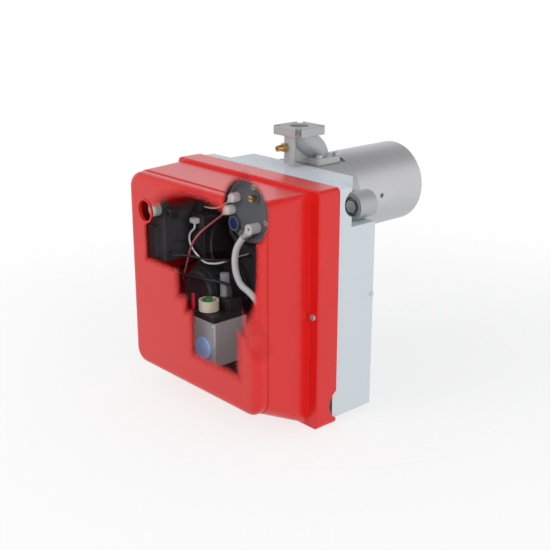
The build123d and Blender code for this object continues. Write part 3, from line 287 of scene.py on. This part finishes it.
LOOKS = {
    "red_paint": surface("red_paint", (0.72, 0.012, 0.010), 0.30, edge=(0.80, 0.10, 0.09), edge_amount=0.35,
                         scale=900, bump_strength=0.04, vary=0.06, radius=0.0015, coat=0.10),
    "grey_paint": surface("grey_paint", (0.65, 0.70, 0.73), 0.42, edge=(0.72, 0.73, 0.78), scale=800,
                          vary=0.03, radius=0.001),
    "black_plate": surface("black_plate", (0.035, 0.035, 0.038), 0.55, edge=(0.12, 0.12, 0.12), vary=0.2),
    "black_paint": surface("black_paint", (0.025, 0.025, 0.028), 0.45, edge=(0.14, 0.14, 0.14), vary=0.2),
    "zinc": surface("zinc", (0.56, 0.56, 0.53), 0.36, metal=0.85, edge=(0.75, 0.75, 0.73), vary=0.12),
    "dark_steel": surface("dark_steel", (0.20, 0.20, 0.21), 0.42, metal=0.8, vary=0.15),
    "cast_alu": surface("cast_alu", (0.46, 0.47, 0.47), 0.48, metal=0.55, edge=(0.66, 0.66, 0.66), scale=520,
                        bump_strength=0.30, vary=0.10),
    "slate_cast": surface("slate_cast", (0.115, 0.138, 0.148), 0.44, edge=(0.20, 0.23, 0.25), scale=600,
                          bump_strength=0.20, vary=0.15),
    "satin_steel": surface("satin_steel", (0.58, 0.58, 0.59), 0.38, metal=0.75, edge=(0.7, 0.7, 0.7),
                           scale=220, stretch=(1, 14, 1), bump_strength=0.03, vary=0.05),
    "brass": surface("brass", (0.62, 0.40, 0.17), 0.30, metal=0.95, edge=(0.85, 0.66, 0.38)),
    "sight_glass": surface("sight_glass", (0.02, 0.035, 0.16), 0.08, coat=0.6, vary=0.05, bump_strength=0.0),
    "ceramic_white": surface("ceramic_white", (0.80, 0.78, 0.72), 0.50, vary=0.04),
    "ceramic_cap": surface("ceramic_cap", (0.78, 0.78, 0.76), 0.26, coat=0.4, vary=0.04),
    "pale_plastic": surface("pale_plastic", (0.58, 0.62, 0.64), 0.32, vary=0.05),
    "hose_silicone": surface("hose_silicone", (0.54, 0.57, 0.58), 0.42, vary=0.08, bump_strength=0.02),
    "pink_lead": surface("pink_lead", (0.48, 0.12, 0.15), 0.40, vary=0.08),
    "white_lead": surface("white_lead", (0.72, 0.72, 0.72), 0.40, vary=0.05),
    "orange_lead": surface("orange_lead", (0.55, 0.38, 0.27), 0.40, vary=0.08),
    "black_rubber": surface("black_rubber", (0.018, 0.018, 0.018), 0.40, vary=0.15),
    "gasket": surface("gasket", (0.16, 0.16, 0.15), 0.70, vary=0.15),
    "grey_plastic": surface("grey_plastic", (0.24, 0.26, 0.28), 0.46, edge=(0.40, 0.42, 0.44), vary=0.08),
    "dark_plastic": surface("dark_plastic", (0.040, 0.042, 0.045), 0.46, edge=(0.13, 0.13, 0.14), scale=1300,
                            bump_strength=0.22, vary=0.12),
    "black_plastic": surface("black_plastic", (0.017, 0.017, 0.018), 0.42, edge=(0.08, 0.08, 0.08),
                             scale=1100, bump_strength=0.15, vary=0.15),
    "clear_button": surface("clear_button", (0.30, 0.40, 0.34), 0.16, coat=0.5, vary=0.1),
    "servo_grey": surface("servo_grey", (0.40, 0.42, 0.43), 0.42, metal=0.25, edge=(0.60, 0.61, 0.62),
                          scale=520, bump_strength=0.25, vary=0.10),
    "blue_plastic": surface("blue_plastic", (0.29, 0.47, 0.74), 0.30, coat=0.2, vary=0.04),
    "cream_plastic": surface("cream_plastic", (0.62, 0.58, 0.45), 0.42, vary=0.06),
    "green_plastic": surface("green_plastic", (0.05, 0.22, 0.08), 0.40, vary=0.06),
    "red_plastic": surface("red_plastic", (0.70, 0.015, 0.05), 0.30, coat=0.3, vary=0.04),
}

# The cover's paint is see-through where the reveal mask says so, and lets light into its inside. The
# window closes as the cover leaves its seat: its world place then differs from its object place.
SEATED, LIFTED = 0.004, 0.030
SHADOW_LEAK = 0.85
cover_paint = LOOKS["red_paint"].copy()
cover_paint.name = "red_paint_reveal"
tree = cover_paint.node_tree
shader = tree.nodes["Principled BSDF"]
window = use_group(tree, reveal)
window.inputs["Ragged"].default_value = 0.006
light_path = tree.nodes.new("ShaderNodeLightPath")
coords = tree.nodes.new("ShaderNodeTexCoord")
spot = tree.nodes.new("ShaderNodeNewGeometry")
moved = tree.nodes.new("ShaderNodeVectorMath")
moved.operation = "DISTANCE"
tree.links.new(spot.outputs["Position"], moved.inputs[0])
tree.links.new(coords.outputs["Object"], moved.inputs[1])
seated = math_node(tree, "SUBTRACT", 1.0, ramp(tree, moved.outputs["Value"], SEATED, LIFTED))
shown = math_node(tree, "MAXIMUM", window.outputs["Open"], window.outputs["Ghost"])
closed = math_node(tree, "SUBTRACT", 1.0, math_node(tree, "MULTIPLY", shown, seated), clamp=True)
leak = math_node(tree, "MULTIPLY", light_path.outputs["Is Shadow Ray"], SHADOW_LEAK)
shade = math_node(tree, "SUBTRACT", 1.0, leak)
tree.links.new(math_node(tree, "MULTIPLY", closed, shade), shader.inputs["Alpha"])

slot_of = {entry["node"]: entry["material_slot"] for entry in record["subparts"]}
for name, obj in nodes.items():
    look = cover_paint if name == "cover" else LOOKS[slot_of[name]]
    obj.data.materials.clear()
    obj.data.materials.append(look)


# ---------------------------------------------------------------- small fittings
# Helpers that revolve a profile into a bmesh and turn a bmesh into a piece that rides on a body.
def piece(name, mesh, slot, body, smooth=True):
    data = bpy.data.meshes.new(name)
    if smooth:
        for face in mesh.faces:
            face.smooth = True
    mesh.to_mesh(data)
    mesh.free()
    obj = bpy.data.objects.new(name, data)
    scene.collection.objects.link(obj)
    data.materials.append(LOOKS[slot])
    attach(obj, body)
    return obj


def turned_profile(mesh, profile, place, steps=28):
    """Revolve (radius, height) points round local Z and put the result at place."""
    verts = [mesh.verts.new((r, 0.0, h)) for r, h in profile]
    lines = [mesh.edges.new(pair) for pair in zip(verts, verts[1:])]
    bmesh.ops.spin(mesh, geom=verts + lines, cent=(0, 0, 0), axis=(0, 0, 1), angle=math.tau,
                   steps=steps, use_merge=True)
    fresh = [vert for vert in mesh.verts if not vert.tag]
    bmesh.ops.remove_doubles(mesh, verts=fresh, dist=1e-6)
    fresh = [vert for vert in mesh.verts if not vert.tag]
    bmesh.ops.transform(mesh, matrix=place, verts=fresh)
    for vert in fresh:
        vert.tag = True


def facing(direction, at):
    return Matrix.Translation(at) @ Vector(direction).to_track_quat("Z", "Y").to_matrix().to_4x4()


# Four domed zinc-plated screws in the corners of the servo's lid. They hold the lid on the servo's
# body, and their heads stand just proud of the lid.
low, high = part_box("servo_lid")
mesh = bmesh.new()
LID_MARGIN = 0.0055
for x in (low[0] + LID_MARGIN, high[0] - LID_MARGIN):
    for z in (low[2] + LID_MARGIN, high[2] - LID_MARGIN):
        turned_profile(mesh, [(0.0, 0.0016), (0.0018, 0.0014), (0.0027, 0.0006), (0.0028, -0.0004)],
                       facing((0, -1, 0), (x, low[1] + 0.0002, z)), 20)
bmesh.ops.recalc_face_normals(mesh, faces=mesh.faces)
piece("servo_lid_screws", mesh, "zinc", "burner")

# A grommet ring that lines the reset hole of the cover. It has the cover's red finish and
# comes off with the cover.
low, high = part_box("reset_button")
hole_x, hole_z = (low[0] + high[0]) / 2, (low[2] + high[2]) / 2
mesh = bmesh.new()
ring = [(0.0155, -0.0042), (0.0155, 0.0002), (0.0162, 0.0012), (0.0182, 0.0012), (0.0188, 0.0003),
        (0.0186, 0.0)]
turned_profile(mesh, ring, facing((0, -1, 0), (hole_x, FRONT, hole_z)), 48)
bmesh.ops.recalc_face_normals(mesh, faces=mesh.faces)
piece("peep_grommet", mesh, "red_paint", "cover_body")

# A small pale plastic lens in the middle of the reset button's face. It is pressed into the button
# and travels with it.
mesh = bmesh.new()
turned_profile(mesh, [(0.0, 0.0014), (0.004, 0.0011), (0.0062, 0.0003), (0.0066, -0.0003)],
               facing((0, -1, 0), (hole_x, low[1], hole_z)), 32)
bmesh.ops.recalc_face_normals(mesh, faces=mesh.faces)
piece("reset_lens", mesh, "pale_plastic", "reset")

# Zinc-plated spring clips round both ends of the air hose: one by the front plate's spout, one by the
# upright spigot of the air pressure switch.
mesh = bmesh.new()
spout_end = Vector((0.0111, -0.179, -0.0288))
spigot_end = Vector((0.041, -0.182, -0.149))
down_left = Vector((math.cos(math.radians(219)), 0, math.sin(math.radians(219))))
band = [(0.0051, -0.0025), (0.0061, -0.0025), (0.0063, 0.0), (0.0061, 0.0025), (0.0051, 0.0025)]
turned_profile(mesh, band, facing(down_left, spout_end + down_left * 0.006), 32)
turned_profile(mesh, band, facing((0, 0, 1), spigot_end), 32)
bmesh.ops.recalc_face_normals(mesh, faces=mesh.faces)
piece("hose_clips", mesh, "zinc", "burner")

# A small pin with a rounded head on the casing's right side, at its rear edge. It is painted with the
# casing.
PIN_AT = (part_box("rear_casing")[1][0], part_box("rear_casing")[1][1] - 0.0036, -0.110)
mesh = bmesh.new()
turned_profile(mesh, [(0.0, 0.0042), (0.0022, 0.0038), (0.0034, 0.0024), (0.0036, 0.0), (0.0036, -0.0006)],
               facing((1, 0, 0), PIN_AT), 24)
bmesh.ops.recalc_face_normals(mesh, faces=mesh.faces)
piece("edge_pin", mesh, "grey_paint", "burner")


def swept(mesh, points, radius, steps=8, sides=12):
    """Round lead of one thickness along a smooth curve through the points."""
    knots = [Vector(point) for point in points]
    knots = [2 * knots[0] - knots[1], *knots, 2 * knots[-1] - knots[-2]]
    path = []
    for a, b, c, d in zip(knots, knots[1:], knots[2:], knots[3:]):
        for t in (step / steps for step in range(steps)):
            path.append(0.5 * (2 * b + (c - a) * t + (2 * a - 5 * b + 4 * c - d) * t ** 2
                               + (3 * b - a - 3 * c + d) * t ** 3))
    path.append(knots[-2])
    side = (path[1] - path[0]).orthogonal()
    rings = []
    for place, before, after in zip(path, path[:1] + path, path[1:] + path[-1:]):
        ahead = (after - before).normalized()
        side = (side - ahead * side.dot(ahead)).normalized()
        other = ahead.cross(side)
        turns = (math.tau * k / sides for k in range(sides))
        rings.append([mesh.verts.new(place + radius * (math.cos(turn) * side + math.sin(turn) * other))
                      for turn in turns])
    for low_ring, high_ring in zip(rings, rings[1:]):
        for k in range(sides):
            j = (k + 1) % sides
            mesh.faces.new((low_ring[k], low_ring[j], high_ring[j], high_ring[k]))
    mesh.faces.new(rings[0][::-1])
    mesh.faces.new(rings[-1])


# Two black rubber-covered leads of the loom, each held at its two ends: the earth lead runs from the
# control box to the bulkhead, the other from the ignition transformer to the motor.
LOOM_R = 0.0019
LOOM = {
    "earth_lead": [(-0.0965, -0.240, -0.068), (-0.082, -0.244, -0.070), (-0.056, -0.238, -0.066),
                   (-0.034, -0.222, -0.070), (-0.022, -0.196, -0.074), (-0.020, -0.166, -0.076),
                   (-0.020, -0.1468, -0.076)],
    "loom_lead": [(-0.0595, -0.186, -0.030), (-0.051, -0.194, -0.034), (-0.043, -0.204, -0.050),
                  (-0.040, -0.205, -0.070), (-0.041, -0.196, -0.087), (-0.040, -0.184, -0.0965)],
}
for name, points in LOOM.items():
    mesh = bmesh.new()
    swept(mesh, points, LOOM_R)
    bmesh.ops.recalc_face_normals(mesh, faces=mesh.faces)
    piece(name, mesh, "black_rubber", "burner")


# ---------------------------------------------------------------- stage, light, camera
# A pale floor under the cover's lowest edge that fades into the white backdrop, and soft lights.
FLOOR_HALF, FADE_FROM, FADE_TO, FLOOR_SHARE = 1.6, 0.25, 1.1, 0.30
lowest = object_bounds()[0][2]
mesh = bmesh.new()
bmesh.ops.create_grid(mesh, x_segments=1, y_segments=1, size=FLOOR_HALF)
bmesh.ops.translate(mesh, verts=mesh.verts, vec=(0, 0, lowest - 0.0005))
data = bpy.data.meshes.new("floor")
mesh.to_mesh(data)
mesh.free()
floor = bpy.data.objects.new("floor", data)
scene.collection.objects.link(floor)
floor_look = bpy.data.materials.new("floor")
floor_look.use_nodes = True
tree = floor_look.node_tree
shader = tree.nodes["Principled BSDF"]
shader.inputs["Base Color"].default_value = (0.93, 0.93, 0.93, 1)
shader.inputs["Roughness"].default_value = 0.9
shader.inputs["Specular IOR Level"].default_value = 0.0
coords = tree.nodes.new("ShaderNodeTexCoord")
reach = tree.nodes.new("ShaderNodeVectorMath")
reach.operation = "LENGTH"
tree.links.new(coords.outputs["Object"], reach.inputs[0])
faded = math_node(tree, "SUBTRACT", 1.0, ramp(tree, reach.outputs["Value"], FADE_FROM, FADE_TO))
tree.links.new(math_node(tree, "MULTIPLY", faded, FLOOR_SHARE), shader.inputs["Alpha"])
data.materials.append(floor_look)

# The world is plain white to the camera, a soft grey to diffuse rays, and to glossy rays a room with
# bright walls, a dimmer floor and a dark ceiling, which gives the bare metal its bands.
world = bpy.data.worlds.new("studio")
scene.world = world
world.use_nodes = True
tree = world.node_tree
background = tree.nodes["Background"]
light_path = tree.nodes.new("ShaderNodeLightPath")
seen = math_node(tree, "MAXIMUM", light_path.outputs["Is Camera Ray"],
                 light_path.outputs["Is Transmission Ray"])
coords = tree.nodes.new("ShaderNodeTexCoord")
way = tree.nodes.new("ShaderNodeSeparateXYZ")
tree.links.new(coords.outputs["Generated"], way.inputs[0])
room = mix_colour(tree, ramp(tree, way.outputs["Z"], 0.42, 0.72), (1.0, 1.0, 1.02), (0.22, 0.22, 0.23))
room = mix_colour(tree, ramp(tree, way.outputs["Z"], -0.25, -0.85), room, (0.85, 0.85, 0.86))
ambient = mix_colour(tree, light_path.outputs["Is Glossy Ray"], (0.50, 0.51, 0.53), room)
tree.links.new(mix_colour(tree, seen, ambient, (1.0, 1.0, 1.0)), background.inputs["Color"])
background.inputs["Strength"].default_value = 1.0


def area_light(name, at, target, size, power):
    lamp = bpy.data.lights.new(name, "AREA")
    lamp.shape = "RECTANGLE"
    lamp.size, lamp.size_y = size
    lamp.energy = power
    obj = bpy.data.objects.new(name, lamp)
    obj.location = at
    obj.rotation_euler = (Vector(target) - Vector(at)).to_track_quat("-Z", "Y").to_euler()
    obj.visible_glossy = False
    scene.collection.objects.link(obj)


area_light("key", (-0.6, -2.2, 1.2), (0, -0.1, -0.1), (1.2, 1.2), 24)
area_light("side", (2.4, -0.4, 0.5), (0, -0.05, -0.1), (1.0, 1.6), 24)
area_light("top", (0.2, 0.4, 2.2), (0, 0, 0), (1.4, 1.4), 1.5)

AZIMUTH, ELEVATION = math.radians(48.31), math.radians(18.41)
SENSOR, LENS = 36.0, 64.4
back = Vector((math.sin(AZIMUTH) * math.cos(ELEVATION), -math.cos(AZIMUTH) * math.cos(ELEVATION),
               math.sin(ELEVATION)))
right = Vector((math.cos(AZIMUTH), math.sin(AZIMUTH), 0.0))
camera_data = bpy.data.cameras.new("camera")
camera_data.sensor_width = SENSOR
camera_data.lens = LENS
camera_data.clip_start = 0.05
camera = bpy.data.objects.new("camera", camera_data)
turn = Matrix((right, back.cross(right), back)).transposed().to_4x4()
camera.matrix_world = Matrix.Translation(EYE) @ turn
scene.collection.objects.link(camera)
scene.camera = camera
scene.view_settings.view_transform = "Standard"
